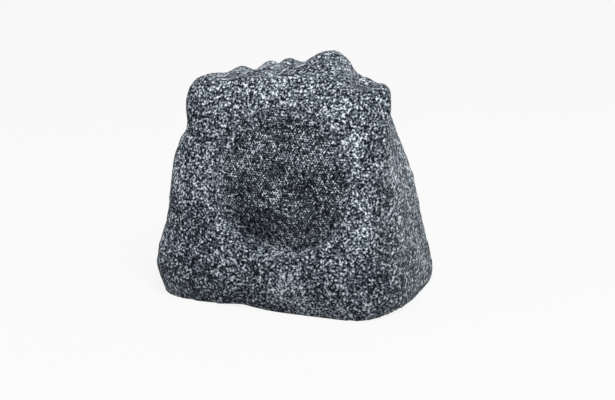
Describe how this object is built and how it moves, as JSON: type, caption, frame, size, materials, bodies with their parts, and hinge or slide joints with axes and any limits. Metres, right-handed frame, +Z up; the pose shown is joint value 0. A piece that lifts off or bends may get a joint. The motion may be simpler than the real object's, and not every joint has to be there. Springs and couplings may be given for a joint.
{
  "type": "rock shaped garden speaker",
  "caption": "Outdoor loudspeaker hidden in a speckled rock-shaped shell, with a round recessed perforated grille in front and a cable gland low at the back.",
  "frame": {"origin": "on the ground under the middle of the box around the part", "axes": "+Z up, -Y out of the grille, +X to the right as seen by somebody who faces +Y"},
  "size_m": [0.2996, 0.2442, 0.2799],
  "materials": {
    "stone_shell": "speckled, matt",
    "grille_paint": "speckled, matt",
    "screen_cloth": "woven",
    "black_rubber": "matt",
    "screw_steel": "bright",
    "frame_paint": "satin",
    "motor_steel": "zinc plated",
    "ferrite": "matt",
    "copper_wire": "enamelled",
    "former_foil": "bright",
    "cone_plastic": "matt",
    "spider_cloth": "woven",
    "strip_board": "matt",
    "tag_metal": "tinned",
    "dark_plastic": "matt",
    "dome_film": "satin",
    "board_green": "satin",
    "bobbin_plastic": "matt",
    "capacitor_sleeve": "gloss",
    "resistor_ceramic": "matt",
    "block_plastic": "satin",
    "lead_jacket": "satin",
    "tweeter_lead_jacket": "satin"
  },
  "bodies": {
    "cabinet": {"rock_shell": "stone_shell", "grille": "grille_paint", "weather_screen": "screen_cloth", "driver_gasket": "black_rubber", "woofer_basket": "frame_paint", "driver_screws": "screw_steel", "top_plate": "motor_steel", "magnet_ring": "ferrite", "pole_plate": "motor_steel", "woofer_surround": "black_rubber", "spider": "spider_cloth", "terminal_strip": "strip_board", "terminal_tags": "tag_metal", "tweeter_post": "motor_steel", "tweeter_housing": "dark_plastic", "tweeter_magnet": "ferrite", "tweeter_face_ring": "dark_plastic", "tweeter_dome": "dome_film", "base_plate": "dark_plastic", "base_seal": "black_rubber", "base_screws": "screw_steel", "crossover_board": "board_green", "board_screws": "screw_steel", "inductor_bobbin": "bobbin_plastic", "inductor_winding": "copper_wire", "crossover_capacitors": "capacitor_sleeve", "crossover_resistor": "resistor_ceramic", "terminal_block": "block_plastic", "woofer_leads": "lead_jacket", "tweeter_leads": "tweeter_lead_jacket", "gland_body": "dark_plastic", "gland_seal": "black_rubber", "gland_cap": "dark_plastic", "gland_insert": "black_rubber", "gland_locknut": "dark_plastic"},
    "moving_cone": {"woofer_cone": "cone_plastic", "voice_coil_former": "former_foil", "voice_coil_winding": "copper_wire"}
  },
  "joints": [
    {"name": "cone_travel", "type": "slide", "parent": "cabinet", "child": "moving_cone", "axis": [0, -0.9962, 0.0872], "range_m": [-0.004, 0.004], "stiffness_N_per_m": 2100, "deforming": ["woofer_surround", "spider"]}
  ]
}
